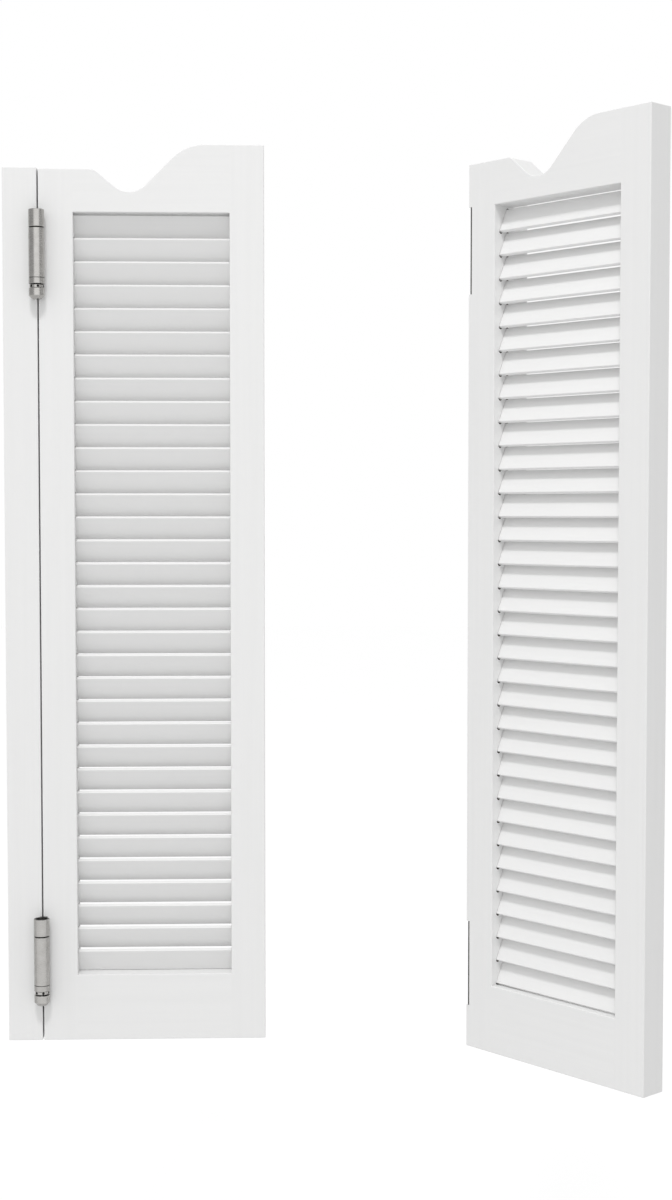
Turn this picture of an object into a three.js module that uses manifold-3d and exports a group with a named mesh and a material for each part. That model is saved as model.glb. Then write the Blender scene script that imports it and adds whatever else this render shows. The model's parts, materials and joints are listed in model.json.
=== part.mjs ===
// A pair of louvred cafe doors of opposite hand, on double-acting spring hinges in one opening.
// Millimetres, +Z up. The front is -Y and Y = 0 is the middle of the door thickness.
// The origin lies on the left jamb face, at half the height of the hanging strips.
// The left door is closed. The right door stands open toward the front.

import * as THREE from 'three';
import { mergeVertices } from 'three/addons/utils/BufferGeometryUtils.js';
import Module from 'manifold-3d';

const wasm = await Module();
wasm.setup();

// Doors and hanging strips
const doorWidth = 261;
const doorThickness = 33;
const lowSideHeight = 1019;
const highSideRise = 28.75; // of the meeting edge above the low side
const stripWidth = 39.7;
const stripRise = 1.5; // of the hanging strips above the low side
const hingeGap = 1.6; // between a hanging strip and its door
const meetingGap = 5; // between the two doors when both are closed
const easedEdge = 1.5; // chamfer along the long edges of strips and stiles
const rightDoorOpening = THREE.MathUtils.degToRad(130);

// Door frame
const stileWidth = 40;
const topRailHeight = 49.65; // at the low side
const bottomRailHeight = 77.6;
const tenonLength = 16;
const tenonThickness = 11;
const tenonShoulder = 9; // from the edge of a rail to its tenon
const jointClearance = 0.3;

// Scalloped top: a round shoulder, a fall, a round dip, a rise and a round crest
const dipFromMiddle = 25.8; // from the middle of the door toward its hinge edge
const dipDepth = 26; // below the low side
const dipRadius = 27;
const shoulderRadius = 14;
const crestRadius = 53;
const fallAngle = THREE.MathUtils.degToRad(40);
const riseAngle = THREE.MathUtils.degToRad(45);

// Louvre slats: the upper edge of each leans to the front
const slatWidth = 28.2;
const slatThickness = 4.8;
const slatEase = 0.9; // chamfer along the edges of a slat
const slatTilt = THREE.MathUtils.degToRad(25.5); // from upright
const slatSpacing = 26.9; // aimed at: the slats share the opening evenly
const slatSlotDepth = 7;
const slatSlotOvercut = 1.9; // by which a slot runs on beyond both edges of its slat
const slatRailClearance = 1.4;

// Double-acting spring hinge: leaf heights run up from the lower end of the leaves
const hingeInset = 48.5; // from an end of the low side to the nearer end of the leaves
const leafHeight = 98.5;
const leafThickness = 2.2;
const leafClearance = 0.3;
const barrelStandoff = 0.8; // between a barrel and the face of the door
const spindleRadius = 4;
const springWire = 2.1;
const springClearance = 0.4;
const topKnuckleLength = 20;
const bottomKnuckleLength = 8.5;
const knuckleGap = 1.2;
const capLength = 3.8; // the bottom knuckle reaches this far below the leaves
const capChamfer = 2.5;
const collarLength = 3.7;
const collarStep = 0.9; // collar radius below barrel radius
const collarClearance = 0.65; // at both ends of a collar
const collarHoleRadius = 1.5;
const collarHoles = 6;
const spindleClearance = 0.3;
const spindleHeadLength = 9;
const spindleTip = 1; // below the lower end of the leaves

// Facets of round pieces
const barrelFacets = 20;
const collarFacets = 16;
const innerFacets = 12;
const holeFacets = 6;
const arcFacets = 8;
const slotEndFacets = 2;

// Sizes that follow from the driving ones
const halfThickness = doorThickness / 2;
const highSideHeight = lowSideHeight + highSideRise;
const stripHeight = lowSideHeight + stripRise;
const boreRadius = spindleRadius + springClearance + springWire + springClearance;
const barrelRadius = boreRadius + leafThickness;
const openingWidth = 2 * (stripWidth + hingeGap + doorWidth) + meetingGap;
const gapX = stripWidth + hingeGap / 2; // middle of the gap, and of both barrels
const barrelY = halfThickness + barrelStandoff + barrelRadius; // front barrel at minus this
const doorEdgeX = stripWidth + hingeGap;
const stileInnerX = doorEdgeX + stileWidth;
const meetingStileX = doorEdgeX + doorWidth - stileWidth;
const meetingEdgeX = doorEdgeX + doorWidth;
const louvreTop = lowSideHeight - topRailHeight;
const louvreBottom = bottomRailHeight;
const webX = doorEdgeX;
const doorLeafX = webX + leafThickness + leafClearance;
const jambLeafX = stripWidth - leafThickness;
const hingeMortise = 2 * (leafThickness + leafClearance);
const collarZ = bottomKnuckleLength + collarClearance;
const barrelBottomZ = collarZ + collarLength + collarClearance;
const topKnuckleZ = leafHeight - topKnuckleLength;
const barrelTopZ = topKnuckleZ - knuckleGap;
const cutMargin = 1; // by which a cutting solid stands clear of the face it opens

function solidFrom(geometry) {
  const bare = geometry.clone();
  bare.deleteAttribute('normal');
  bare.deleteAttribute('uv');
  const merged = mergeVertices(bare);
  return new wasm.Manifold(new wasm.Mesh({
    numProp: 3,
    vertProperties: new Float32Array(merged.attributes.position.array),
    triVerts: new Uint32Array(merged.index.array),
  }));
}

function geometryFrom(solid) {
  const mesh = solid.getMesh();
  const geometry = new THREE.BufferGeometry();
  geometry.setAttribute('position', new THREE.BufferAttribute(mesh.vertProperties, mesh.numProp));
  geometry.setIndex(new THREE.BufferAttribute(mesh.triVerts, 1));
  geometry.computeVertexNormals();
  return geometry;
}

function block(x0, x1, y0, y1, z0, z1) {
  const geometry = new THREE.BoxGeometry(x1 - x0, y1 - y0, z1 - z0);
  geometry.translate((x0 + x1) / 2, (y0 + y1) / 2, (z0 + z1) / 2);
  return solidFrom(geometry);
}

// A turned solid about the vertical line through (x, y), from [radius, height] pairs.
function turned(profile, facets, x, y) {
  const points = profile.map(([radius, height]) => new THREE.Vector2(radius, height));
  const geometry = new THREE.LatheGeometry(points, facets);
  geometry.rotateX(Math.PI / 2);
  geometry.translate(x, y, 0);
  return solidFrom(geometry);
}

function rod(radius, z0, z1, facets, x, y) {
  return turned([[0, z0], [radius, z0], [radius, z1], [0, z1]], facets, x, y);
}

// An upright post of door thickness, with its long edges eased on the sides asked for.
function post(x0, x1, height, easeLeft, easeRight) {
  const left = easeLeft ? easedEdge : 0;
  const right = easeRight ? easedEdge : 0;
  const corners = [
    [x0 + left, -halfThickness], [x1 - right, -halfThickness],
    [x1, -halfThickness + right], [x1, halfThickness - right],
    [x1 - right, halfThickness], [x0 + left, halfThickness],
    [x0, halfThickness - left], [x0, -halfThickness + left],
  ];
  const outline = new THREE.Shape(corners.map(([x, y]) => new THREE.Vector2(x, y)));
  return solidFrom(new THREE.ExtrudeGeometry(outline, { depth: height, bevelEnabled: false }));
}

// Section of a slat, before it is tilted: a board with eased edges.
function slatSection() {
  const halfBoard = slatThickness / 2;
  const reach = slatWidth / 2;
  const corners = [
    [halfBoard - slatEase, -reach], [halfBoard, -reach + slatEase],
    [halfBoard, reach - slatEase], [halfBoard - slatEase, reach],
    [-halfBoard + slatEase, reach], [-halfBoard, reach - slatEase],
    [-halfBoard, -reach + slatEase], [-halfBoard + slatEase, -reach],
  ];
  return new THREE.Shape(corners.map(([y, z]) => new THREE.Vector2(y, z)));
}

// Section of a routed slot, before it is tilted: its round ends run on beyond the slat.
function slotSection() {
  const radius = slatThickness / 2 + jointClearance;
  const reach = slatWidth / 2 + slatSlotOvercut - radius;
  const section = new THREE.Shape();
  section.absarc(0, reach, radius, 0, Math.PI);
  section.absarc(0, -reach, radius, Math.PI, 2 * Math.PI);
  return section;
}

// A level length of such a section, tilted and set at a height.
function tilted(section, x0, x1, z) {
  const geometry = new THREE.ExtrudeGeometry(section, {
    depth: x1 - x0,
    bevelEnabled: false,
    curveSegments: slotEndFacets,
  });
  const alongX = new THREE.Matrix4().makeBasis(
    new THREE.Vector3(0, 1, 0), new THREE.Vector3(0, 0, 1), new THREE.Vector3(1, 0, 0));
  geometry.applyMatrix4(alongX);
  geometry.rotateX(slatTilt);
  geometry.translate(x0, 0, z);
  return solidFrom(geometry);
}

function slatHeights() {
  const rise = slatWidth * Math.cos(slatTilt) + slatThickness * Math.sin(slatTilt);
  const lowest = louvreBottom + slatRailClearance + rise / 2;
  const highest = louvreTop - slatRailClearance - rise / 2;
  const steps = Math.round((highest - lowest) / slatSpacing);
  return Array.from({ length: steps + 1 }, (_, i) => lowest + (highest - lowest) * i / steps);
}

// Stub tenons of the rails. Each is given as the heights between which it lies.
const tenons = {
  bottom: [tenonShoulder, bottomRailHeight - tenonShoulder],
  topHingeSide: [louvreTop + tenonShoulder, lowSideHeight - tenonShoulder],
  topMeetingSide: [louvreTop + tenonShoulder, highSideHeight - tenonShoulder],
};

function tenon(x0, x1, [z0, z1], clearance) {
  const halfTenon = tenonThickness / 2 + clearance;
  return block(x0, x1, -halfTenon, halfTenon, z0 - clearance, z1 + clearance);
}

const hingeHeights = {
  lower: hingeInset,
  upper: lowSideHeight - hingeInset - leafHeight,
};

function hingePocket(x0, x1, z) {
  const y = halfThickness + cutMargin;
  return block(x0, x1, -y, y, z - leafClearance, z + leafHeight + leafClearance);
}

function hangingStrip() {
  let solid = post(0, stripWidth, stripHeight, true, true);
  for (const z of Object.values(hingeHeights)) {
    solid = solid.subtract(hingePocket(jambLeafX - leafClearance, stripWidth + cutMargin, z));
  }
  return solid;
}

function hingeStile() {
  let solid = post(doorEdgeX, stileInnerX, lowSideHeight, true, false);
  for (const z of Object.values(hingeHeights)) {
    solid = solid.subtract(hingePocket(doorEdgeX - cutMargin, doorEdgeX + hingeMortise, z));
  }
  for (const heights of [tenons.bottom, tenons.topHingeSide]) {
    const floorX = stileInnerX - tenonLength - jointClearance;
    solid = solid.subtract(tenon(floorX, stileInnerX + cutMargin, heights, jointClearance));
  }
  for (const z of slatHeights()) {
    const floorX = stileInnerX - slatSlotDepth;
    solid = solid.subtract(tilted(slotSection(), floorX, stileInnerX + cutMargin, z));
  }
  return solid;
}

// The slats are one piece with the meeting stile. Their far ends stand in the routed
// slots of the hinge stile.
function meetingStile() {
  let solid = post(meetingStileX, meetingEdgeX, highSideHeight, false, true);
  for (const z of slatHeights()) {
    const farX = stileInnerX - slatSlotDepth + jointClearance;
    solid = solid.add(tilted(slatSection(), farX, meetingStileX + slatSlotDepth, z));
  }
  for (const heights of [tenons.bottom, tenons.topMeetingSide]) {
    const floorX = meetingStileX + tenonLength + jointClearance;
    solid = solid.subtract(tenon(meetingStileX - cutMargin, floorX, heights, jointClearance));
  }
  return solid;
}

function topRail() {
  const leftX = stileInnerX + jointClearance;
  const rightX = meetingStileX - jointClearance;
  const dipX = doorEdgeX + doorWidth / 2 - dipFromMiddle;
  const dipZ = lowSideHeight - dipDepth;
  const roundFall = (shoulderRadius + dipRadius) * (1 - Math.cos(fallAngle));
  const fallRun = (dipDepth - roundFall) / Math.tan(fallAngle);
  const shoulderX = dipX - (shoulderRadius + dipRadius) * Math.sin(fallAngle) - fallRun;
  const roundRise = (dipRadius + crestRadius) * (1 - Math.cos(riseAngle));
  const riseRun = (highSideHeight - dipZ - roundRise) / Math.tan(riseAngle);
  const crestX = dipX + (dipRadius + crestRadius) * Math.sin(riseAngle) + riseRun;
  const up = Math.PI / 2;

  const outline = new THREE.Shape();
  outline.moveTo(leftX, louvreTop);
  outline.lineTo(rightX, louvreTop);
  outline.lineTo(rightX, highSideHeight);
  outline.absarc(crestX, highSideHeight - crestRadius, crestRadius, up, up + riseAngle, false);
  outline.absarc(dipX, dipZ + dipRadius, dipRadius, -up + riseAngle, -up - fallAngle, true);
  outline.absarc(shoulderX, lowSideHeight - shoulderRadius, shoulderRadius, up - fallAngle, up, false);
  outline.lineTo(leftX, lowSideHeight);
  const geometry = new THREE.ExtrudeGeometry(outline, {
    depth: doorThickness,
    bevelEnabled: false,
    curveSegments: arcFacets,
  });
  geometry.rotateX(Math.PI / 2);
  geometry.translate(0, halfThickness, 0);
  return solidFrom(geometry)
    .add(tenon(stileInnerX - tenonLength, leftX + cutMargin, tenons.topHingeSide, 0))
    .add(tenon(rightX - cutMargin, meetingStileX + tenonLength, tenons.topMeetingSide, 0));
}

function bottomRail() {
  const leftX = stileInnerX + jointClearance;
  const rightX = meetingStileX - jointClearance;
  return block(leftX, rightX, -halfThickness, halfThickness, 0, bottomRailHeight)
    .add(tenon(stileInnerX - tenonLength, meetingStileX + tenonLength, tenons.bottom, 0));
}

// The two knuckles of a leaf, joined to its plate at x0. side is -1 for the front barrel
// and 1 for the back one.
function hingeLeaf(x0, side) {
  const x1 = x0 + leafThickness;
  const y = side * barrelY;
  const plateEnd = -side * (halfThickness - leafClearance);
  const plateFace = side * halfThickness;
  const knuckles = [[0, bottomKnuckleLength], [topKnuckleZ, leafHeight]];
  const plate = block(
    x0, x1, Math.min(plateEnd, plateFace), Math.max(plateEnd, plateFace), 0, leafHeight);
  const tabs = knuckles.map(([z0, z1]) => block(
    x0, x1, Math.min(0, y), Math.max(0, y), z0, z1));
  const topKnuckle = rod(barrelRadius, topKnuckleZ, leafHeight, barrelFacets, gapX, y);
  const bottomKnuckle = turned([
    [0, -capLength], [barrelRadius - capChamfer, -capLength], [barrelRadius, 0],
    [barrelRadius, bottomKnuckleLength], [0, bottomKnuckleLength],
  ], barrelFacets, gapX, y);
  const topBore = rod(
    boreRadius, topKnuckleZ - cutMargin, leafHeight + cutMargin, barrelFacets, gapX, y);
  const bottomBore = rod(
    spindleRadius + spindleClearance, -spindleTip - spindleClearance,
    bottomKnuckleLength + cutMargin, innerFacets, gapX, y);
  return plate.add(tabs[0]).add(tabs[1]).add(topKnuckle).add(bottomKnuckle)
    .subtract(topBore).subtract(bottomBore);
}

// The web: one plate that carries the spring barrels of both axes.
function hingeWeb() {
  const x1 = webX + leafThickness;
  let solid = block(webX, x1, -halfThickness, halfThickness, 0, leafHeight)
    .add(block(webX, x1, -barrelY, barrelY, barrelBottomZ, barrelTopZ));
  for (const y of [-barrelY, barrelY]) {
    solid = solid.add(rod(barrelRadius, barrelBottomZ, barrelTopZ, barrelFacets, gapX, y));
  }
  for (const y of [-barrelY, barrelY]) {
    solid = solid.subtract(
      rod(boreRadius, barrelBottomZ - cutMargin, barrelTopZ + cutMargin, barrelFacets, gapX, y));
  }
  return solid;
}

// The spindle turns with the leaf: its head fills the top knuckle and its tip the bottom one.
function spindle(y) {
  const headRadius = boreRadius - spindleClearance;
  return turned([
    [0, -spindleTip], [spindleRadius, -spindleTip], [spindleRadius, topKnuckleZ],
    [headRadius, topKnuckleZ], [headRadius, topKnuckleZ + spindleHeadLength],
    [0, topKnuckleZ + spindleHeadLength],
  ], innerFacets, gapX, y);
}

// The wound spring fills the room between spindle and barrel as a sleeve.
function spring(y) {
  const innerRadius = spindleRadius + springClearance;
  const z0 = barrelBottomZ + springClearance;
  const z1 = barrelTopZ - springClearance;
  return rod(innerRadius + springWire, z0, z1, innerFacets, gapX, y)
    .subtract(rod(innerRadius, z0 - cutMargin, z1 + cutMargin, innerFacets, gapX, y));
}

// The tension collar, with radial holes for the bar that winds the spring up.
function tensionCollar(y) {
  const outerRadius = barrelRadius - collarStep;
  const z1 = collarZ + collarLength;
  let solid = rod(outerRadius, collarZ, z1, collarFacets, gapX, y);
  for (let i = 0; i < collarHoles; i += 1) {
    const hole = new THREE.CylinderGeometry(
      collarHoleRadius, collarHoleRadius, outerRadius, holeFacets);
    hole.translate(0, outerRadius / 2 + spindleRadius, 0);
    hole.rotateZ((i + 0.5) * 2 * Math.PI / collarHoles);
    hole.translate(gapX, y, collarZ + collarLength / 2);
    solid = solid.subtract(solidFrom(hole));
  }
  const bore = rod(
    spindleRadius + spindleClearance, collarZ - cutMargin, z1 + cutMargin, innerFacets, gapX, y);
  return solid.subtract(bore);
}

const paint = { color: 0xf2f1ee, roughness: 0.45, metalness: 0 };
const stainless = { color: 0xb4b2ae, roughness: 0.35, metalness: 1 };
const springSteel = { color: 0x6f7072, roughness: 0.5, metalness: 1 };

// The pieces of a left-hand half, as [name, solid, finish], by the body that carries them.
function leftHandPieces() {
  const fixed = [['hanging_strip', hangingStrip(), paint]];
  const web = [];
  const door = [
    ['hinge_stile', hingeStile(), paint],
    ['meeting_stile', meetingStile(), paint],
    ['top_rail', topRail(), paint],
    ['bottom_rail', bottomRail(), paint],
  ];
  for (const [place, z] of Object.entries(hingeHeights)) {
    const piece = (name, solid, finish) => [`${place}_${name}`, solid.translate(0, 0, z), finish];
    fixed.push(piece('jamb_leaf', hingeLeaf(jambLeafX, 1), stainless));
    fixed.push(piece('back_spindle', spindle(barrelY), stainless));
    fixed.push(piece('back_collar', tensionCollar(barrelY), stainless));
    web.push(piece('hinge_web', hingeWeb(), stainless));
    web.push(piece('front_spring', spring(-barrelY), springSteel));
    web.push(piece('back_spring', spring(barrelY), springSteel));
    door.push(piece('door_leaf', hingeLeaf(doorLeafX, -1), stainless));
    door.push(piece('front_spindle', spindle(-barrelY), stainless));
    door.push(piece('front_collar', tensionCollar(-barrelY), stainless));
  }
  return { fixed, web, door };
}

function mirrored(geometry) {
  const copy = geometry.clone();
  copy.applyMatrix4(new THREE.Matrix4().makeScale(-1, 1, 1));
  const corners = copy.index.array;
  for (let i = 0; i < corners.length; i += 3) {
    [corners[i + 1], corners[i + 2]] = [corners[i + 2], corners[i + 1]];
  }
  copy.computeVertexNormals();
  return copy;
}

// One half of the pair. hand is 1 for the left half and -1 for its mirror image. The door
// and what turns with it stand in a group on the front barrel's axis.
function half(side, hand, pieces, doorAngle) {
  const group = new THREE.Group();
  const doorPivot = new THREE.Group();
  doorPivot.position.set(hand * gapX, -barrelY, 0);
  doorPivot.rotation.z = doorAngle;
  group.add(doorPivot);
  for (const [body, list] of Object.entries(pieces)) {
    for (const [name, solid, finish] of list) {
      const geometry = geometryFrom(solid);
      const mesh = new THREE.Mesh(
        hand < 0 ? mirrored(geometry) : geometry, new THREE.MeshStandardMaterial(finish));
      mesh.name = `${side}_${name}`;
      if (body === 'door') {
        mesh.position.set(-hand * gapX, barrelY, 0);
        doorPivot.add(mesh);
      } else {
        group.add(mesh);
      }
    }
  }
  return group;
}

const cafeDoors = new THREE.Group();
const pieces = leftHandPieces();
const leftHalf = half('left', 1, pieces, 0);
const rightHalf = half('right', -1, pieces, rightDoorOpening);
rightHalf.position.x = openingWidth;
cafeDoors.add(leftHalf, rightHalf);
cafeDoors.position.z = -stripHeight / 2;

export default cafeDoors;
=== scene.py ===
"""Looks of a pair of louvred cafe doors on double-acting spring hinges.

Lengths are in metres and the front is -Y. Every piece is drawn once, for the left half with its
door closed. The right half takes the mirror image, and its door stands open toward the front.
"""

import json
import math
import random

import bmesh
import bpy
from mathutils import Matrix, Vector


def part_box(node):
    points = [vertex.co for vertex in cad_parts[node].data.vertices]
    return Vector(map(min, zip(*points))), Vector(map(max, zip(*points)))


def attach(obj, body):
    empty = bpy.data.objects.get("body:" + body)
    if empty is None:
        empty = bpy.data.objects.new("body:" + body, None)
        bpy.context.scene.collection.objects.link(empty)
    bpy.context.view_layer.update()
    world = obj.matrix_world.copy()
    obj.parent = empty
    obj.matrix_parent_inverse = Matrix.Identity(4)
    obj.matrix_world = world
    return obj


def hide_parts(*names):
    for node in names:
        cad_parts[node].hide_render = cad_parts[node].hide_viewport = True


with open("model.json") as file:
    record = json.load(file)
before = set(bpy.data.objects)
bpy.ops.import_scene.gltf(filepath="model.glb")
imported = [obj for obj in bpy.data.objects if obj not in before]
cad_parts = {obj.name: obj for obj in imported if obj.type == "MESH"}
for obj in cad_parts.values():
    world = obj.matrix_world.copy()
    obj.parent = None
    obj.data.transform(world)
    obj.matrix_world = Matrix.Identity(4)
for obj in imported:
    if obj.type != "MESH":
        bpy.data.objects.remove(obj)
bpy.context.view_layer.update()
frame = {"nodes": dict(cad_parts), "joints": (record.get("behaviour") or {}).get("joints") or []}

MM = 0.001
FRONT = -1  # signs along Y
BACK = 1
TOWARD_JAMB = -1  # signs along X
TOWARD_DOOR = 1
SIDES = ("left", "right")
PLACES = ("lower", "upper")
JOINTS = {joint["name"]: joint for joint in frame["joints"]}
chance = random.Random(11)

# Doors and hanging strips, from the frame
STRIP_LOW, STRIP_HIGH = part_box("left_hanging_strip")
STILE_LOW, STILE_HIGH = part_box("left_hinge_stile")
OPENING_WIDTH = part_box("right_hanging_strip")[1].x
MEETING_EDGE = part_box("left_meeting_stile")[1].x
FOOT = STILE_LOW.z
LOW_TOP = STILE_HIGH.z
HIGH_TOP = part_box("left_meeting_stile")[1].z
LOUVRE_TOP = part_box("left_top_rail")[0].z
LOUVRE_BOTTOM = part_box("left_bottom_rail")[1].z
HALF_THICKNESS = STILE_HIGH.y
DOOR_EDGE = STILE_LOW.x
STILE_INNER = STILE_HIGH.x
MEETING_INNER = MEETING_EDGE - (STILE_INNER - DOOR_EDGE)
EDGE_RADIUS = 0.9 * MM
EDGE_STEPS = 3
JOINT_OFFSET = 0.15 * MM  # of the rail shoulders from the stiles' inner faces
CUT_MARGIN = 1 * MM  # by which a cutting solid stands clear of the face it opens
ON_PLANE = 1e-7  # a point this near to a cutting plane lies on it

# Scalloped top: a round shoulder, a fall, a round dip, a rise and a round crest
DIP_FROM_MIDDLE = 25.8 * MM  # toward the hinge side
DIP_X = (DOOR_EDGE + MEETING_EDGE) / 2 - DIP_FROM_MIDDLE
DIP_DEPTH = 26 * MM
DIP_RADIUS = 27 * MM
SHOULDER_RADIUS = 14 * MM
CREST_RADIUS = 53 * MM
FALL_ANGLE = math.radians(40)
RISE_ANGLE = math.radians(45)
ARC_STEPS = 20

# Louvre slats: the upper edge of each leans to the front
SLAT_COUNT = 33
SLAT_WIDTH = 28.2 * MM
SLAT_THICKNESS = 4.8 * MM
SLAT_EDGE_RADIUS = 0.9 * MM
SLAT_TILT = math.radians(25.5)
SLAT_TILT_SPREAD = math.radians(0.6)
SLAT_RAIL_CLEARANCE = 0.5 * MM
TOP_SLAT_DROP = {"left": 0.0, "right": 2.6 * MM}  # the right door's slats stand a little closer
SLOT_DEPTH = 7 * MM
SLOT_CLEARANCE = 0.3 * MM
SLOT_OVERCUT = 1.9 * MM
SLOT_END_RADIUS = 2.6 * MM
SLOT_END_STEPS = 8

# Hinges: heights run up from the lower end of the leaves
HINGE_FEET = {place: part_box(f"left_{place}_hinge_web")[0].z for place in PLACES}
LEAF_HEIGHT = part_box("left_lower_hinge_web")[1].z - HINGE_FEET["lower"]
BARREL_X = JOINTS["left_front_swing"]["pos_m"][0]
BARREL_Y = -JOINTS["left_front_swing"]["pos_m"][1]
BARREL_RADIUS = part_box("left_lower_hinge_web")[1].y - BARREL_Y
LEAF_THICKNESS = 2.2 * MM
LEAF_CLEARANCE = 0.3 * MM
LEAF_EASE = 0.25 * MM
TAB_INSET = 0.5 * MM  # of a leaf's tabs from the ends of their knuckles
TAB_OVERLAP = 0.5 * MM  # of a leaf's tabs with its plate
BORE_MARGIN = 0.25 * MM  # between the end of a plate in a tube's wall and the bore
BORE_RADIUS = BARREL_RADIUS - LEAF_THICKNESS
WEB_X = DOOR_EDGE
DOOR_LEAF_X = WEB_X + LEAF_THICKNESS + LEAF_CLEARANCE
JAMB_LEAF_X = STRIP_HIGH.x - LEAF_THICKNESS
DOOR_MORTISE = 2 * (LEAF_THICKNESS + LEAF_CLEARANCE)
STRIP_MORTISE = LEAF_THICKNESS + LEAF_CLEARANCE
TOP_KNUCKLE_LENGTH = 20 * MM
TOP_KNUCKLE_Z = LEAF_HEIGHT - TOP_KNUCKLE_LENGTH
BOTTOM_KNUCKLE_Z = 8.5 * MM
CAP_LENGTH = 3.8 * MM
CAP_CHAMFER = 3.6 * MM
BARREL_FOOT = 13.5 * MM
KNUCKLE_GAP = 1.2 * MM
BARREL_TOP = TOP_KNUCKLE_Z - KNUCKLE_GAP
COLLAR_LENGTH = 3.7 * MM
COLLAR_STEP = 0.9 * MM  # of a collar's radius below the barrel's
COLLAR_RADIUS = BARREL_RADIUS - COLLAR_STEP
COLLAR_PLAY = 0.1 * MM
COLLAR_HOLES = 6
COLLAR_HOLE_RADIUS = 1.5 * MM
COLLAR_TURN = math.radians(-13)
# The upper collars rest on the bottom knuckle, and the lower ones are drawn up to the barrel
COLLAR_FEET = {"upper": BOTTOM_KNUCKLE_Z + COLLAR_PLAY,
               "lower": BARREL_FOOT - COLLAR_PLAY - COLLAR_LENGTH}
GROOVE_Z = 19.9 * MM
GROOVE_DEPTH = 0.9 * MM
GROOVE_WIDTH = 0.8 * MM
END_CHAMFER = 0.35 * MM
SPINDLE_RADIUS = 4 * MM
SPINDLE_TIP_Z = -1 * MM
SPINDLE_CLEARANCE = 0.3 * MM
SPINDLE_HEAD_LENGTH = 9 * MM
WIRE_RADIUS = 1.05 * MM
COIL_RADIUS = 5.45 * MM
COIL_PITCH = 2.25 * MM
COIL_STEPS = 16
WIRE_FACETS = 6
SPRING_END_CLEARANCE = 0.4 * MM
ROUND_FACETS = 64
HOLE_FACETS = 20

# Countersunk wood screws of the leaves
SCREW_ROWS = 4
SCREW_END_DISTANCE = 13 * MM
SCREW_STAGGER = 7 * MM
SCREW_HEAD_RADIUS = 3.5 * MM
SCREW_HEAD_DEPTH = 1.9 * MM
SCREW_SHANK_RADIUS = 1.6 * MM
SCREW_LENGTH = 20 * MM
SCREW_POINT_LENGTH = 3 * MM
SCREW_RIM = 0.15 * MM
SCREW_PLAY = 0.15 * MM
SCREW_SINK = 0.05 * MM
SCREW_FACETS = 32
RECESS_WIDTH = 0.8 * MM
RECESS_LENGTH = 3.8 * MM
RECESS_DEPTH = 1.2 * MM

# Shading and marking of faces
SHARP_ANGLE = math.radians(35)
BEVEL_ANGLE = math.radians(60)
MARK_MARGIN = 0.25 * MM
EDGE_FACING = 0.5  # the normal of a plate's edge has a smaller share than this along X


# Solids: each function gives a closed mesh that the caller owns

def extruded(outline, along):
    """A solid swept from a flat outline in a straight line."""
    solid = bmesh.new()
    near = [solid.verts.new(point) for point in outline]
    far = [solid.verts.new(Vector(point) + along) for point in outline]
    solid.faces.new(near)
    solid.faces.new(far)
    for i in range(len(outline)):
        j = (i + 1) % len(outline)
        solid.faces.new((near[i], near[j], far[j], far[i]))
    bmesh.ops.recalc_face_normals(solid, faces=solid.faces)
    return solid


def block(low, high, ease=0.0):
    """An upright box between two corners, with rounded edges where ease is given."""
    outline = [(low[0], low[1], low[2]), (high[0], low[1], low[2]),
               (high[0], high[1], low[2]), (low[0], high[1], low[2])]
    solid = extruded(outline, Vector((0, 0, high[2] - low[2])))
    if ease:
        round_edges(solid, ease)
    return solid


def round_edges(solid, radius):
    """Rounds the outward edges of a solid, and leaves its hollow corners sharp."""
    edges = [edge for edge in solid.edges if edge.calc_face_angle_signed(0) > BEVEL_ANGLE]
    bmesh.ops.bevel(solid, geom=edges, offset=radius, offset_type="OFFSET", segments=EDGE_STEPS,
                    profile=0.5, affect="EDGES")


def turned(profile, x=0.0, y=0.0, facets=ROUND_FACETS):
    """A solid turned about an upright axis from (radius, height) points.

    A profile that starts and ends on the axis is solid. Any other one closes on itself as a ring.
    """
    solid = bmesh.new()
    turns = [2 * math.pi * i / facets for i in range(facets)]
    rings = []
    for radius, height in profile:
        around = turns if radius > 0 else turns[:1]
        rings.append([solid.verts.new((x + radius * math.cos(a), y + radius * math.sin(a), height))
                      for a in around])
    pairs = list(zip(rings, rings[1:]))
    if profile[0][0] > 0:
        pairs.append((rings[-1], rings[0]))
    for low, high in pairs:
        for i in range(facets):
            j = (i + 1) % facets
            corners = [low[i % len(low)], low[j % len(low)],
                       high[j % len(high)], high[i % len(high)]]
            solid.faces.new(dict.fromkeys(corners))
    bmesh.ops.recalc_face_normals(solid, faces=solid.faces)
    return solid


def rod(radius, length, facets):
    """An upright rod on the origin."""
    return turned([(0, 0), (radius, 0), (radius, length), (0, length)], facets=facets)


def as_mesh(solid):
    """A solid as mesh data. The solid itself is used up."""
    mesh = bpy.data.meshes.new("solid")
    solid.to_mesh(mesh)
    solid.free()
    return mesh


def gathered(solids):
    """Separate solids as one mesh."""
    whole = bmesh.new()
    for solid in solids:
        mesh = as_mesh(solid)
        whole.from_mesh(mesh)
        bpy.data.meshes.remove(mesh)
    return whole


def combined(solid, tool, operation):
    """A solid joined with a tool solid (UNION), or cut by it (DIFFERENCE)."""
    objects = [bpy.data.objects.new("solid", as_mesh(part)) for part in (solid, tool)]
    for item in objects:
        bpy.context.scene.collection.objects.link(item)
    modifier = objects[0].modifiers.new("combined", "BOOLEAN")
    modifier.operation = operation
    modifier.object = objects[1]
    modifier.solver = "EXACT"
    evaluated = objects[0].evaluated_get(bpy.context.evaluated_depsgraph_get())
    result = bmesh.new()
    result.from_mesh(evaluated.to_mesh())
    for item in objects:
        bpy.data.meshes.remove(item.data)
    return result


def cut(solid, tools):
    """A solid with the room of all the tools taken out."""
    return combined(solid, gathered(tools), "DIFFERENCE")


def fused(solids):
    """Solids that overlap, joined into one."""
    whole = solids[0]
    for solid in solids[1:]:
        whole = combined(whole, solid, "UNION")
    return whole


# Woodwork

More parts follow.
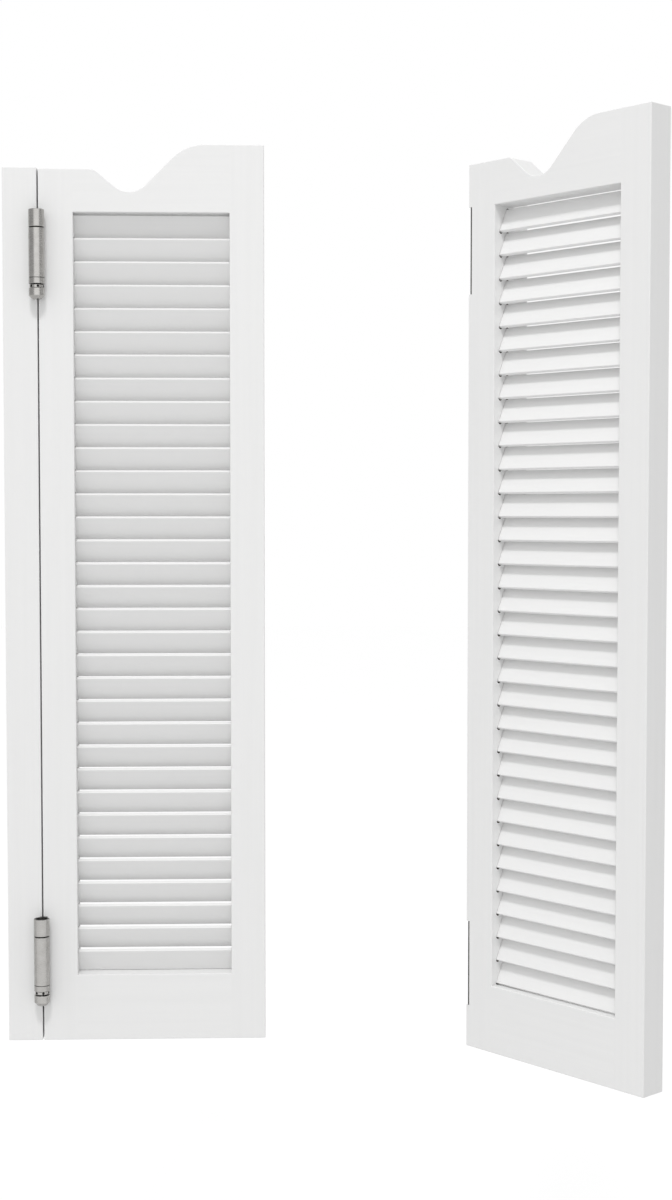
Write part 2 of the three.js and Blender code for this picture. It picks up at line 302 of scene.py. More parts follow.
def arc(x, z, radius, start, end):
    """Points (x, z) along an arc, from one angle to another."""
    angles = [start + (end - start) * i / ARC_STEPS for i in range(ARC_STEPS + 1)]
    return [(x + radius * math.cos(a), z + radius * math.sin(a)) for a in angles]


def scallop():
    """The curve of the top edge, from the high side down to the dip and up to the low side."""
    up = math.pi / 2
    dip_z = LOW_TOP - DIP_DEPTH
    round_fall = (SHOULDER_RADIUS + DIP_RADIUS) * (1 - math.cos(FALL_ANGLE))
    fall_run = (DIP_DEPTH - round_fall) / math.tan(FALL_ANGLE)
    shoulder_x = DIP_X - (SHOULDER_RADIUS + DIP_RADIUS) * math.sin(FALL_ANGLE) - fall_run
    round_rise = (DIP_RADIUS + CREST_RADIUS) * (1 - math.cos(RISE_ANGLE))
    rise_run = (HIGH_TOP - dip_z - round_rise) / math.tan(RISE_ANGLE)
    crest_x = DIP_X + (DIP_RADIUS + CREST_RADIUS) * math.sin(RISE_ANGLE) + rise_run
    return (arc(crest_x, HIGH_TOP - CREST_RADIUS, CREST_RADIUS, up, up + RISE_ANGLE)
            + arc(DIP_X, dip_z + DIP_RADIUS, DIP_RADIUS, RISE_ANGLE - up, -FALL_ANGLE - up)
            + arc(shoulder_x, LOW_TOP - SHOULDER_RADIUS, SHOULDER_RADIUS, up - FALL_ANGLE, up))


def whole_frame():
    """The door frame as one solid: its faces meet at the joints between stiles and rails."""
    hinge_stile = [(DOOR_EDGE, FOOT), (STILE_INNER, FOOT), (STILE_INNER, LOUVRE_BOTTOM),
                   (STILE_INNER, LOUVRE_TOP), (STILE_INNER, LOW_TOP), (DOOR_EDGE, LOW_TOP)]
    meeting_stile = [(MEETING_INNER, FOOT), (MEETING_EDGE, FOOT), (MEETING_EDGE, HIGH_TOP),
                     (MEETING_INNER, HIGH_TOP), (MEETING_INNER, LOUVRE_TOP),
                     (MEETING_INNER, LOUVRE_BOTTOM)]
    bottom_rail = [(STILE_INNER, FOOT), (MEETING_INNER, FOOT),
                   (MEETING_INNER, LOUVRE_BOTTOM), (STILE_INNER, LOUVRE_BOTTOM)]
    top_rail = [(STILE_INNER, LOUVRE_TOP), (MEETING_INNER, LOUVRE_TOP), (MEETING_INNER, HIGH_TOP),
                *scallop(), (STILE_INNER, LOW_TOP)]
    outlines = (hinge_stile, meeting_stile, bottom_rail, top_rail)
    solid = bmesh.new()
    front = {}
    back = {}
    for point in dict.fromkeys(point for outline in outlines for point in outline):
        front[point] = solid.verts.new((point[0], -HALF_THICKNESS, point[1]))
        back[point] = solid.verts.new((point[0], HALF_THICKNESS, point[1]))
    sides = set()
    for outline in outlines:
        solid.faces.new([front[point] for point in outline])
        solid.faces.new([back[point] for point in reversed(outline)])
        sides.update(zip(outline, outline[1:] + outline[:1]))
    for start, end in sides:
        if (end, start) not in sides:
            solid.faces.new((front[end], front[start], back[start], back[end]))
    bmesh.ops.recalc_face_normals(solid, faces=solid.faces)
    round_edges(solid, EDGE_RADIUS)
    return solid


def part_of(solid, cuts):
    """The part of a solid behind every cutting plane, given as (point, direction)."""
    part = solid.copy()
    for point, direction in cuts:
        bmesh.ops.bisect_plane(part, geom=part.verts[:] + part.edges[:] + part.faces[:],
                               dist=ON_PLANE, plane_co=point, plane_no=direction, clear_outer=True)
    rims = [edge for edge in part.edges if edge.is_boundary]
    bmesh.ops.holes_fill(part, edges=rims, sides=0)
    bmesh.ops.recalc_face_normals(part, faces=part.faces)
    return part


def slat_places(drop):
    """Height and tilt of each slat. The tilts differ a little, as in hand-set louvres."""
    rise = SLAT_WIDTH * math.cos(SLAT_TILT) + SLAT_THICKNESS * math.sin(SLAT_TILT)
    lowest = LOUVRE_BOTTOM + SLAT_RAIL_CLEARANCE + rise / 2
    highest = LOUVRE_TOP - SLAT_RAIL_CLEARANCE - rise / 2 - drop
    step = (highest - lowest) / (SLAT_COUNT - 1)
    return [(lowest + i * step, SLAT_TILT + chance.uniform(-SLAT_TILT_SPREAD, SLAT_TILT_SPREAD))
            for i in range(SLAT_COUNT)]


def rounded_section(thickness, width, radius, steps):
    """A rectangle of thickness by width with round corners, as (across, along) points."""
    points = []
    for quarter, (across, along) in enumerate(((1, 1), (-1, 1), (-1, -1), (1, -1))):
        for i in range(steps + 1):
            angle = (quarter + i / steps) * math.pi / 2
            points.append((across * (thickness / 2 - radius) + radius * math.cos(angle),
                           along * (width / 2 - radius) + radius * math.sin(angle)))
    return points


def louvre_bar(section, low, high, place):
    """A level bar of a section, between two distances across the door, at a slat's place."""
    height, tilt = place
    outline = [(low, across * math.cos(tilt) - along * math.sin(tilt),
                height + across * math.sin(tilt) + along * math.cos(tilt))
               for across, along in section]
    return extruded(outline, Vector((high - low, 0, 0)))


def slats(places):
    """The slats of a door, with their ends in the slots of both stiles."""
    section = rounded_section(SLAT_THICKNESS, SLAT_WIDTH, SLAT_EDGE_RADIUS, EDGE_STEPS)
    low = STILE_INNER - SLOT_DEPTH + SLOT_CLEARANCE
    high = MEETING_INNER + SLOT_DEPTH - SLOT_CLEARANCE
    return gathered([louvre_bar(section, low, high, place) for place in places])


def slots(places, low, high):
    """Round-ended slots that run on beyond the edges of their slats."""
    thickness = SLAT_THICKNESS + 2 * SLOT_CLEARANCE
    width = SLAT_WIDTH + 2 * SLOT_OVERCUT
    section = rounded_section(thickness, width, SLOT_END_RADIUS, SLOT_END_STEPS)
    return [louvre_bar(section, low, high, place) for place in places]


def mark_slots(stile, low, high):
    """Gives the faces inside the slots of a stile, between two distances, its second material: the
    painted shade of the slots.
    """
    for face in stile.faces:
        middle = face.calc_center_median()
        in_louvre = LOUVRE_BOTTOM < middle.z < LOUVRE_TOP
        if in_louvre and low < middle.x < high and abs(middle.y) < HALF_THICKNESS - EDGE_RADIUS:
            face.material_index = 1


def mortises(low, high):
    """Notches for the hinge leaves, across the whole thickness."""
    reach = HALF_THICKNESS + CUT_MARGIN
    return [block((low, -reach, foot - LEAF_CLEARANCE),
                  (high, reach, foot + LEAF_HEIGHT + LEAF_CLEARANCE))
            for foot in HINGE_FEET.values()]


def door_members(places):
    """The stiles and rails of a door by name, cut from the whole frame at their joints."""
    whole = whole_frame()
    left = Vector((STILE_INNER + JOINT_OFFSET, 0, 0))
    right = Vector((MEETING_INNER - JOINT_OFFSET, 0, 0))
    middle = Vector((0, 0, (LOUVRE_TOP + LOUVRE_BOTTOM) / 2))
    across = Vector((1, 0, 0))
    up = Vector((0, 0, 1))
    hinge_slots = slots(places, STILE_INNER - SLOT_DEPTH, STILE_INNER + CUT_MARGIN)
    hinge_stile = cut(part_of(whole, [(left, across)]),
                      hinge_slots + mortises(DOOR_EDGE - CUT_MARGIN, DOOR_EDGE + DOOR_MORTISE))
    mark_slots(hinge_stile, STILE_INNER - SLOT_DEPTH - CUT_MARGIN, STILE_INNER - JOINT_OFFSET)
    meeting_slots = slots(places, MEETING_INNER - CUT_MARGIN, MEETING_INNER + SLOT_DEPTH)
    meeting_stile = cut(part_of(whole, [(right, -across)]), meeting_slots)
    mark_slots(meeting_stile, MEETING_INNER + JOINT_OFFSET, MEETING_INNER + SLOT_DEPTH + CUT_MARGIN)
    members = {
        "top_rail": part_of(whole, [(left, -across), (right, across), (middle, -up)]),
        "bottom_rail": part_of(whole, [(left, -across), (right, across), (middle, up)]),
        "hinge_stile": hinge_stile,
        "meeting_stile": meeting_stile,
    }
    whole.free()
    return members


def hanging_strip():
    """The strip on the jamb, with notches for the jamb leaves."""
    solid = block(STRIP_LOW, STRIP_HIGH, EDGE_RADIUS)
    return cut(solid, mortises(STRIP_HIGH.x - STRIP_MORTISE, STRIP_HIGH.x + CUT_MARGIN))


# Hinges: drawn with the lower end of the leaves at height 0

def screw_places():
    """Where the screws of a leaf stand, as (y, z), staggered from row to row."""
    step = (LEAF_HEIGHT - 2 * SCREW_END_DISTANCE) / (SCREW_ROWS - 1)
    return [(SCREW_STAGGER if row % 2 else -SCREW_STAGGER, SCREW_END_DISTANCE + row * step)
            for row in range(SCREW_ROWS)]


def driven(solid, x, y, z, facing, roll=0.0):
    """Lays an upright solid down so that its top faces along X, with the top at (x, y, z)."""
    lay = Matrix.Rotation(facing * math.pi / 2, 4, "Y")
    bmesh.ops.transform(solid, verts=solid.verts,
                        matrix=Matrix.Translation((x, y, z)) @ lay @ Matrix.Rotation(roll, 4, "Z"))
    return solid


def screw():
    """An upright countersunk screw with a cross recess, its head's top at height 0."""
    profile = [(0, 0), (SCREW_HEAD_RADIUS - SCREW_RIM, 0), (SCREW_HEAD_RADIUS, -SCREW_RIM),
               (SCREW_SHANK_RADIUS, -SCREW_HEAD_DEPTH),
               (SCREW_SHANK_RADIUS, -SCREW_LENGTH + SCREW_POINT_LENGTH), (0, -SCREW_LENGTH)]
    solid = turned(profile, facets=SCREW_FACETS)
    for length, width in ((RECESS_LENGTH, RECESS_WIDTH), (RECESS_WIDTH, RECESS_LENGTH)):
        solid = cut(solid, [block((-length / 2, -width / 2, -RECESS_DEPTH),
                                  (length / 2, width / 2, CUT_MARGIN))])
    return solid


def leaf_screws(face_x, facing):
    """The screws of a leaf, each with its cross recess at an angle of its own."""
    return gathered([driven(screw(), face_x - facing * SCREW_SINK, y, z, facing,
                            chance.uniform(0, math.pi)) for y, z in screw_places()])


def countersinks(face_x, facing):
    """Cutting cones and holes for the screws of a leaf."""
    head = SCREW_HEAD_RADIUS + SCREW_PLAY
    hole = SCREW_SHANK_RADIUS + SCREW_PLAY
    through = -LEAF_THICKNESS - CUT_MARGIN
    profile = [(0, CUT_MARGIN), (head, CUT_MARGIN), (head, 0),
               (hole, -SCREW_HEAD_DEPTH), (hole, through), (0, through)]
    return [driven(turned(profile, facets=SCREW_FACETS), face_x, y, z, facing)
            for y, z in screw_places()]


def mark_dark_edges(solid):
    """Gives the cut edges of a hinge piece its second material.

    These are the sheared edges of its plate, darker as sheared steel and darkened further as
    painted shade, and the ends and grooves of its tubes, where the near-black colour is painted
    shade in the gaps.
    """
    for face in solid.faces:
        middle = face.calc_center_median()
        on_plate = abs(middle.y) < HALF_THICKNESS + MARK_MARGIN
        sheared = on_plate and abs(face.normal.x) < EDGE_FACING
        from_axis = math.hypot(middle.x - BARREL_X, abs(middle.y) - BARREL_Y)
        in_tube_wall = BORE_RADIUS + MARK_MARGIN < from_axis < BARREL_RADIUS - MARK_MARGIN
        if sheared or (in_tube_wall and middle.z > 0):
            face.material_index = 1


def tube(y, low, high, groove=()):
    """A piece of a barrel's tube, with a fine chamfer round both ends."""
    inset = BARREL_RADIUS - END_CHAMFER
    profile = [(BORE_RADIUS, low), (inset, low), (BARREL_RADIUS, low + END_CHAMFER), *groove,
               (BARREL_RADIUS, high - END_CHAMFER), (inset, high), (BORE_RADIUS, high)]
    return turned(profile, BARREL_X, y)


def wall_reach(x):
    """How far from the middle a plate runs into the wall of its tubes, short of their bores."""
    off_axis = min(abs(x - BARREL_X), abs(x + LEAF_THICKNESS - BARREL_X))
    return BARREL_Y - math.sqrt(BORE_RADIUS ** 2 - off_axis ** 2) - BORE_MARGIN


def hinge_leaf(x, side, face_x, facing):
    """A leaf with its two knuckles on the front or the back barrel.

    Its screws are driven in from face_x, with their heads facing along X.
    """
    barrel_y = side * BARREL_Y
    plate_y = sorted((-side * (HALF_THICKNESS - LEAF_CLEARANCE), side * HALF_THICKNESS))
    tab_y = sorted((side * (HALF_THICKNESS - TAB_OVERLAP), side * wall_reach(x)))
    plate = block((x, plate_y[0], 0), (x + LEAF_THICKNESS, plate_y[1], LEAF_HEIGHT), LEAF_EASE)
    tabs = [block((x, tab_y[0], low + TAB_INSET), (x + LEAF_THICKNESS, tab_y[1], high - TAB_INSET))
            for low, high in ((0, BOTTOM_KNUCKLE_Z), (TOP_KNUCKLE_Z, LEAF_HEIGHT))]
    top_knuckle = tube(barrel_y, TOP_KNUCKLE_Z, LEAF_HEIGHT)
    socket = SPINDLE_RADIUS + SPINDLE_CLEARANCE
    socket_floor = SPINDLE_TIP_Z - SPINDLE_CLEARANCE
    bottom_knuckle = turned([
        (0, -CAP_LENGTH), (BARREL_RADIUS - CAP_CHAMFER, -CAP_LENGTH), (BARREL_RADIUS, 0),
        (BARREL_RADIUS, BOTTOM_KNUCKLE_Z - END_CHAMFER),
        (BARREL_RADIUS - END_CHAMFER, BOTTOM_KNUCKLE_Z), (socket, BOTTOM_KNUCKLE_Z),
        (socket, socket_floor), (0, socket_floor),
    ], BARREL_X, barrel_y)
    solid = fused([plate, *tabs, top_knuckle, bottom_knuckle])
    solid = cut(solid, countersinks(face_x, facing))
    mark_dark_edges(solid)
    return solid


def hinge_web():
    """The plate between the leaves, with the spring barrels of both axes."""
    high_x = WEB_X + LEAF_THICKNESS
    reach = wall_reach(WEB_X)
    plate = block((WEB_X, -HALF_THICKNESS, 0), (high_x, HALF_THICKNESS, LEAF_HEIGHT), LEAF_EASE)
    band = block((WEB_X, -reach, BARREL_FOOT + LEAF_EASE),
                 (high_x, reach, BARREL_TOP - LEAF_EASE))
    groove_floor = BARREL_RADIUS - GROOVE_DEPTH
    groove_top = GROOVE_Z + GROOVE_WIDTH
    groove = [(BARREL_RADIUS, GROOVE_Z), (groove_floor, GROOVE_Z),
              (groove_floor, groove_top), (BARREL_RADIUS, groove_top)]
    barrels = [tube(side * BARREL_Y, BARREL_FOOT, BARREL_TOP, groove) for side in (FRONT, BACK)]
    solid = fused([plate, band, *barrels])
    mark_dark_edges(solid)
    return solid


def spindle(y):
    """The pin of a barrel, with a wide head inside the top knuckle."""
    head = BORE_RADIUS - SPINDLE_CLEARANCE
    head_top = TOP_KNUCKLE_Z + SPINDLE_HEAD_LENGTH
    return turned([(0, SPINDLE_TIP_Z), (SPINDLE_RADIUS, SPINDLE_TIP_Z),
                   (SPINDLE_RADIUS, TOP_KNUCKLE_Z), (head, TOP_KNUCKLE_Z),
                   (head, head_top - END_CHAMFER), (head - END_CHAMFER, head_top),
                   (0, head_top)], BARREL_X, y)


def spring(y):
    """A close-wound torsion spring round the spindle."""
    low = BARREL_FOOT + SPRING_END_CLEARANCE + WIRE_RADIUS
    high = BARREL_TOP - SPRING_END_CLEARANCE - WIRE_RADIUS
    count = round((high - low) / COIL_PITCH * COIL_STEPS)
    solid = bmesh.new()
    rings = []
    for i in range(count + 1):
        turn = 2 * math.pi * i / COIL_STEPS
        height = low + (high - low) * i / count
        ring = []
        for facet in range(WIRE_FACETS):
            angle = 2 * math.pi * facet / WIRE_FACETS
            radius = COIL_RADIUS + WIRE_RADIUS * math.cos(angle)
            ring.append(solid.verts.new((BARREL_X + radius * math.cos(turn),
                                         y + radius * math.sin(turn),
                                         height + WIRE_RADIUS * math.sin(angle))))
        rings.append(ring)
    solid.faces.new(rings[0])
    solid.faces.new(rings[-1])
    for low_ring, high_ring in zip(rings, rings[1:]):
        for i in range(WIRE_FACETS):
            j = (i + 1) % WIRE_FACETS
            solid.faces.new((low_ring[i], low_ring[j], high_ring[j], high_ring[i]))
    bmesh.ops.recalc_face_normals(solid, faces=solid.faces)
    return solid


def tension_collar(y, foot):
    """A ring with radial holes for the bar that winds the spring up.

    All but its round outside gets the second material, a near-black steel that paints the shade in
    its holes and on its hidden faces.
    """
    top = foot + COLLAR_LENGTH
    inner = SPINDLE_RADIUS + SPINDLE_CLEARANCE
    solid = turned([(inner, foot), (COLLAR_RADIUS - END_CHAMFER, foot),
                    (COLLAR_RADIUS, foot + END_CHAMFER), (COLLAR_RADIUS, top - END_CHAMFER),
                    (COLLAR_RADIUS - END_CHAMFER, top), (inner, top)], BARREL_X, y)
    holes = []
    for i in range(COLLAR_HOLES):
        hole = rod(COLLAR_HOLE_RADIUS, COLLAR_RADIUS, HOLE_FACETS)
        turn = Matrix.Rotation(COLLAR_TURN + (i + 0.5) * 2 * math.pi / COLLAR_HOLES, 4, "Z")
        out = Matrix.Translation((0, SPINDLE_RADIUS, 0)) @ Matrix.Rotation(-math.pi / 2, 4, "X")
        place = Matrix.Translation((BARREL_X, y, foot + COLLAR_LENGTH / 2))
        bmesh.ops.transform(hole, verts=hole.verts, matrix=place @ turn @ out)
        holes.append(hole)
    solid = cut(solid, holes)
    for face in solid.faces:
        middle = face.calc_center_median()
        if math.hypot(middle.x - BARREL_X, middle.y - y) < COLLAR_RADIUS - END_CHAMFER:
            face.material_index = 1
    return solid


# Materials: grains are given as the number of ripples in a metre, by axis

NOISE_LOW = 0.3  # nearly all of a noise lies between these two values
NOISE_HIGH = 0.7
PAINT_DARK = (0.793, 0.793, 0.79)
PAINT_LIGHT = (0.807, 0.807, 0.804)
PAINT_SMOOTH = 0.36
PAINT_ROUGH = 0.5
PAINT_SHINE = 0.4
BOARD_DIFFERENCE = 0.3  # in tone, from one slat to another
UPRIGHT_GRAIN = (420, 420, 9)
LEVEL_GRAIN = (9, 420, 420)
BRUSH_HEIGHT = 0.12 * MM
BRUSH_STRENGTH = 0.2
PEEL_GRAIN = (700, 700, 700)
PEEL_HEIGHT = 0.03 * MM
PEEL_STRENGTH = 0.3
# Painted shade inside the slots: a near-black colour with a wood grain
SLOT_SHADE_DARK = (0.06, 0.045, 0.03)
SLOT_SHADE_LIGHT = (0.13, 0.1, 0.07)
SLOT_SHADE_SMOOTH = 0.7
SLOT_SHADE_ROUGH = 0.9
SLOT_SHADE_GRAIN = (500, 500, 15)
SLOT_SHADE_HEIGHT = 0.1 * MM
SLOT_SHADE_STRENGTH = 0.4
TURNED_GRAIN = (60, 60, 2600)
TURNED_HEIGHT = 0.01 * MM
TURNED_STRENGTH = 0.06
CLOUD_GRAIN = (120, 120, 120)


def new_material(name):
    """A material with its nodes and its surface shader."""
    material = bpy.data.materials.new(name)
    material.use_nodes = True
    return material, material.node_tree, material.node_tree.nodes["Principled BSDF"]


def noise(tree, grain, detail):
    """Noise over the drawing's coordinates."""
    coordinates = tree.nodes.new("ShaderNodeTexCoord")
    mapping = tree.nodes.new("ShaderNodeMapping")
    mapping.inputs["Scale"].default_value = grain
    texture = tree.nodes.new("ShaderNodeTexNoise")
    texture.inputs["Scale"].default_value = 1
    texture.inputs["Detail"].default_value = detail
    tree.links.new(coordinates.outputs["Object"], mapping.inputs["Vector"])
    tree.links.new(mapping.outputs["Vector"], texture.inputs["Vector"])
    return texture.outputs["Fac"]


def spread(tree, source, low, high):
    """A value between low and high that follows a noise."""
    node = tree.nodes.new("ShaderNodeMapRange")
    node.inputs["From Min"].default_value = NOISE_LOW
    node.inputs["From Max"].default_value = NOISE_HIGH
    node.inputs["To Min"].default_value = low
    node.inputs["To Max"].default_value = high
    tree.links.new(source, node.inputs["Value"])
    return node.outputs["Result"]


def shades(tree, source, dark, light):
    """A colour between two shades that follows a noise."""
    node = tree.nodes.new("ShaderNodeValToRGB")
    node.color_ramp.elements[0].position = NOISE_LOW
    node.color_ramp.elements[0].color = (*dark, 1)
    node.color_ramp.elements[1].position = NOISE_HIGH
    node.color_ramp.elements[1].color = (*light, 1)
    tree.links.new(source, node.inputs["Fac"])
    return node.outputs["Color"]


def ripples(tree, source, height, strength, under=None):
    """Surface relief from a noise, on top of another relief where one is given."""
    node = tree.nodes.new("ShaderNodeBump")
    node.inputs["Distance"].default_value = height
    node.inputs["Strength"].default_value = strength
    tree.links.new(source, node.inputs["Height"])
    if under:
        tree.links.new(under, node.inputs["Normal"])
    return node.outputs["Normal"]


def painted_wood(name, grain, each_board=False):
    """White satin paint. Brush marks run along the axis with few ripples."""
    material, tree, shader = new_material(name)
    coarse_grain = [ripple_count / 2 for ripple_count in grain]
    tone = noise(tree, coarse_grain, detail=3)
    if each_board:
        geometry = tree.nodes.new("ShaderNodeNewGeometry")
        share = tree.nodes.new("ShaderNodeMath")
        share.operation = "MULTIPLY_ADD"
        share.inputs[1].default_value = BOARD_DIFFERENCE
        tree.links.new(geometry.outputs["Random Per Island"], share.inputs[0])
        tree.links.new(tone, share.inputs[2])
        tone = share.outputs["Value"]
    brush = noise(tree, grain, detail=4)
    peel = noise(tree, PEEL_GRAIN, detail=2)
    normal = ripples(tree, brush, BRUSH_HEIGHT, BRUSH_STRENGTH)
    normal = ripples(tree, peel, PEEL_HEIGHT, PEEL_STRENGTH, normal)
    tree.links.new(shades(tree, tone, PAINT_DARK, PAINT_LIGHT), shader.inputs["Base Color"])
    tree.links.new(spread(tree, brush, PAINT_SMOOTH, PAINT_ROUGH), shader.inputs["Roughness"])
    tree.links.new(normal, shader.inputs["Normal"])
    shader.inputs["Specular IOR Level"].default_value = PAINT_SHINE
    return material


def bare_wood(name):
    """Painted shade for the insides of the routed slots: a near-black colour, with a wood grain
    upright.
    """
    material, tree, shader = new_material(name)
    grain = noise(tree, SLOT_SHADE_GRAIN, detail=4)
    relief = ripples(tree, grain, SLOT_SHADE_HEIGHT, SLOT_SHADE_STRENGTH)
    tree.links.new(shades(tree, grain, SLOT_SHADE_DARK, SLOT_SHADE_LIGHT), shader.inputs["Base Color"])
    tree.links.new(spread(tree, grain, SLOT_SHADE_SMOOTH, SLOT_SHADE_ROUGH), shader.inputs["Roughness"])
    tree.links.new(relief, shader.inputs["Normal"])
    return material


def steel(name, dark, light, smooth, rough):
    """Metal with fine turning lines round upright pieces, dark to light and smooth to rough."""
    material, tree, shader = new_material(name)
    lines = noise(tree, TURNED_GRAIN, detail=3)
    cloud = noise(tree, CLOUD_GRAIN, detail=2)
    relief = ripples(tree, lines, TURNED_HEIGHT, TURNED_STRENGTH)
    tree.links.new(shades(tree, cloud, dark, light), shader.inputs["Base Color"])
    tree.links.new(spread(tree, lines, smooth, rough), shader.inputs["Roughness"])
    tree.links.new(relief, shader.inputs["Normal"])
    shader.inputs["Metallic"].default_value = 1
    return material


UPRIGHT_PAINT = painted_wood("white_paint_upright", UPRIGHT_GRAIN)
LEVEL_PAINT = painted_wood("white_paint_level", LEVEL_GRAIN)
SLAT_PAINT = painted_wood("white_paint_slats", LEVEL_GRAIN, each_board=True)
SLOT_SHADE = bare_wood("bare_wood")
SATIN_STEEL = steel("satin_stainless", dark=(0.435, 0.425, 0.41), light=(0.49, 0.48, 0.465),
                    smooth=0.22, rough=0.3)
# Near-black steel: partly the darker sheared plate edges, partly painted shade in the knuckle gaps,
# grooves and tube ends
SHEARED_AND_SHADED_STEEL = steel("sheared_steel", dark=(0.1, 0.1, 0.1), light=(0.16, 0.16, 0.155),
                      smooth=0.45, rough=0.6)
SCREW_STEEL = steel("screw_steel", dark=(0.42, 0.41, 0.4), light=(0.55, 0.54, 0.52),
                    smooth=0.22, rough=0.34)
# Near-black steel: painted shade in the bores, on the spindles and in the collars' holes
PAINTED_SHADE_STEEL = steel("oiled_steel", dark=(0.07, 0.07, 0.07), light=(0.12, 0.12, 0.12),
                    smooth=0.3, rough=0.45)
SPRING_STEEL = steel("spring_steel", dark=(0.2, 0.2, 0.205), light=(0.3, 0.3, 0.31),
                     smooth=0.34, rough=0.5)

# The second material of a finish covers the marked faces of a piece
STRIP_FINISH = (UPRIGHT_PAINT,)
# The stiles' second material paints shade into their slots
STILE_FINISH = (UPRIGHT_PAINT, SLOT_SHADE)
RAIL_FINISH = (LEVEL_PAINT,)
SLAT_FINISH = (SLAT_PAINT,)
PLATE_FINISH = (SATIN_STEEL, SHEARED_AND_SHADED_STEEL)
COLLAR_FINISH = (SATIN_STEEL, PAINTED_SHADE_STEEL)
SCREW_FINISH = (SCREW_STEEL,)
# The spindles are near-black as painted shade inside the bores
SPINDLE_FINISH = (PAINTED_SHADE_STEEL,)
SPRING_FINISH = (SPRING_STEEL,)


# Hanging the pieces on both halves

def standing(side, body):
    """Where the drawing stands at rest: the right half is shifted, and its door is turned open."""
    if side == "left":
        return Matrix.Identity(4)
    shifted = Matrix.Translation((OPENING_WIDTH, 0, 0))
    if body != "right_door":
        return shifted
    joint = JOINTS["right_front_swing"]
    axis = Vector(joint["pos_m"])
    opened = math.radians(-joint["range_deg"][0]) * joint["axis"][2]
    turn = Matrix.Rotation(opened, 4, "Z")
    return Matrix.Translation(axis) @ turn @ Matrix.Translation(-axis) @ shifted


def hang(name, solid, materials, carrier, height=0.0, sides=SIDES, stands_for=None):
    """Hangs a solid of the drawing on the halves, for the frame's own solid of that name."""
    drawn = as_mesh(solid)
    drawn.transform(Matrix.Translation((0, 0, height)))
    for side in sides:
        body = carrier.format(side=side)
        mesh = drawn.copy()
        if side == "right":
            mesh.transform(Matrix.Scale(-1, 4, (1, 0, 0)))
            mesh.flip_normals()
        mesh.shade_smooth()
        mesh.set_sharp_from_angle(angle=SHARP_ANGLE)
        for material in materials:
            mesh.materials.append(material)
        piece = bpy.data.objects.new(f"{side}_{name}_finished", mesh)
        bpy.context.scene.collection.objects.link(piece)
        piece.matrix_world = standing(side, body)
        evened = piece.modifiers.new("even_shading", "WEIGHTED_NORMAL")
        evened.keep_sharp = True
        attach(piece, body)
        node = f"{side}_{stands_for or name}"
        if node in frame["nodes"]:
            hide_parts(node)
    bpy.data.meshes.remove(drawn)


JAMB = "jamb_strips"
WEBS = "{side}_hinge_webs"
DOOR = "{side}_door"

for side, drop in TOP_SLAT_DROP.items():
    places = slat_places(drop)
    for name, member in door_members(places).items():
        finish = RAIL_FINISH if name.endswith("rail") else STILE_FINISH
        hang(name, member, finish, DOOR, sides=[side])
    hang("slats", slats(places), SLAT_FINISH, DOOR, sides=[side],
         stands_for="meeting_stile")
hang("hanging_strip", hanging_strip(), STRIP_FINISH, JAMB)

for place, foot in HINGE_FEET.items():
    jamb_face = STRIP_HIGH.x
    hang(f"{place}_jamb_leaf", hinge_leaf(JAMB_LEAF_X, BACK, jamb_face, TOWARD_DOOR),
         PLATE_FINISH, JAMB, foot)
    hang(f"{place}_jamb_screws", leaf_screws(jamb_face, TOWARD_DOOR),
         SCREW_FINISH, JAMB, foot)
    hang(f"{place}_door_leaf", hinge_leaf(DOOR_LEAF_X, FRONT, DOOR_LEAF_X, TOWARD_JAMB),
         PLATE_FINISH, DOOR, foot)
    hang(f"{place}_door_screws", leaf_screws(DOOR_LEAF_X, TOWARD_JAMB),
         SCREW_FINISH, DOOR, foot)
    hang(f"{place}_hinge_web", hinge_web(), PLATE_FINISH, WEBS, foot)
    for end, y, carrier in (("front", FRONT * BARREL_Y, DOOR), ("back", BACK * BARREL_Y, JAMB)):
        hang(f"{place}_{end}_spindle", spindle(y), SPINDLE_FINISH, carrier, foot)
        hang(f"{place}_{end}_collar", tension_collar(y, COLLAR_FEET[place]),
             COLLAR_FINISH, carrier, foot)
        hang(f"{place}_{end}_spring", spring(y), SPRING_FINISH, WEBS, foot)


# Floor, light and camera

FLOOR_DROP = 0.45  # below the foot of the doors
FLOOR_SIZE = 30.0
FLOOR_THICKNESS = 0.02
FLOOR_DARK = (0.77, 0.77, 0.77)
FLOOR_LIGHT = (0.79, 0.79, 0.79)
FLOOR_GRAIN = (3, 3, 3)
FLOOR_ROUGHNESS = 0.9
FLOOR_GLOW = 1.13
FLOOR_GLOW_SHARE = 0.75  # of the glow in what is seen of the floor
FLOOR_GLEAM_FRONT = -0.6  # the floor's glow shows in the steel only in front of this

# Glows round the doors, as (share of the way toward a direction, strength) steps
AMBIENT_TOWARD = (-0.6, -0.5, 0.66)
AMBIENT_GLOWS = ((0.4, 0.49), (1, 0.99))
REFLECTED_TOWARD = (-0.15, 0.99, 0)
REFLECTED_GLOWS = ((0.08, 1.35), (0.16, 0.5), (0.75, 0.5), (0.9, 1))

KEY_PLACE = (0.0, -3.4, 4.9)
KEY_WIDTH = 1.2
KEY_HEIGHT = 0.5
KEY_POWER = 132


def calculated(tree, operation, first, second):
    """The result of an operation on a node's output and another output or a plain number."""
    node = tree.nodes.new("ShaderNodeMath")
    node.operation = operation
    tree.links.new(first, node.inputs[0])
    if isinstance(second, float):
        node.inputs[1].default_value = second
    else:
        tree.links.new(second, node.inputs[1])
    return node.outputs["Value"]


def any_ray(tree, *kinds):
    """1 for rays of the named kinds, and 0 for all others."""
    light_path = tree.nodes.new("ShaderNodeLightPath")
    found = light_path.outputs[kinds[0]]
    for kind in kinds[1:]:
        found = calculated(tree, "MAXIMUM", found, light_path.outputs[kind])
    return found


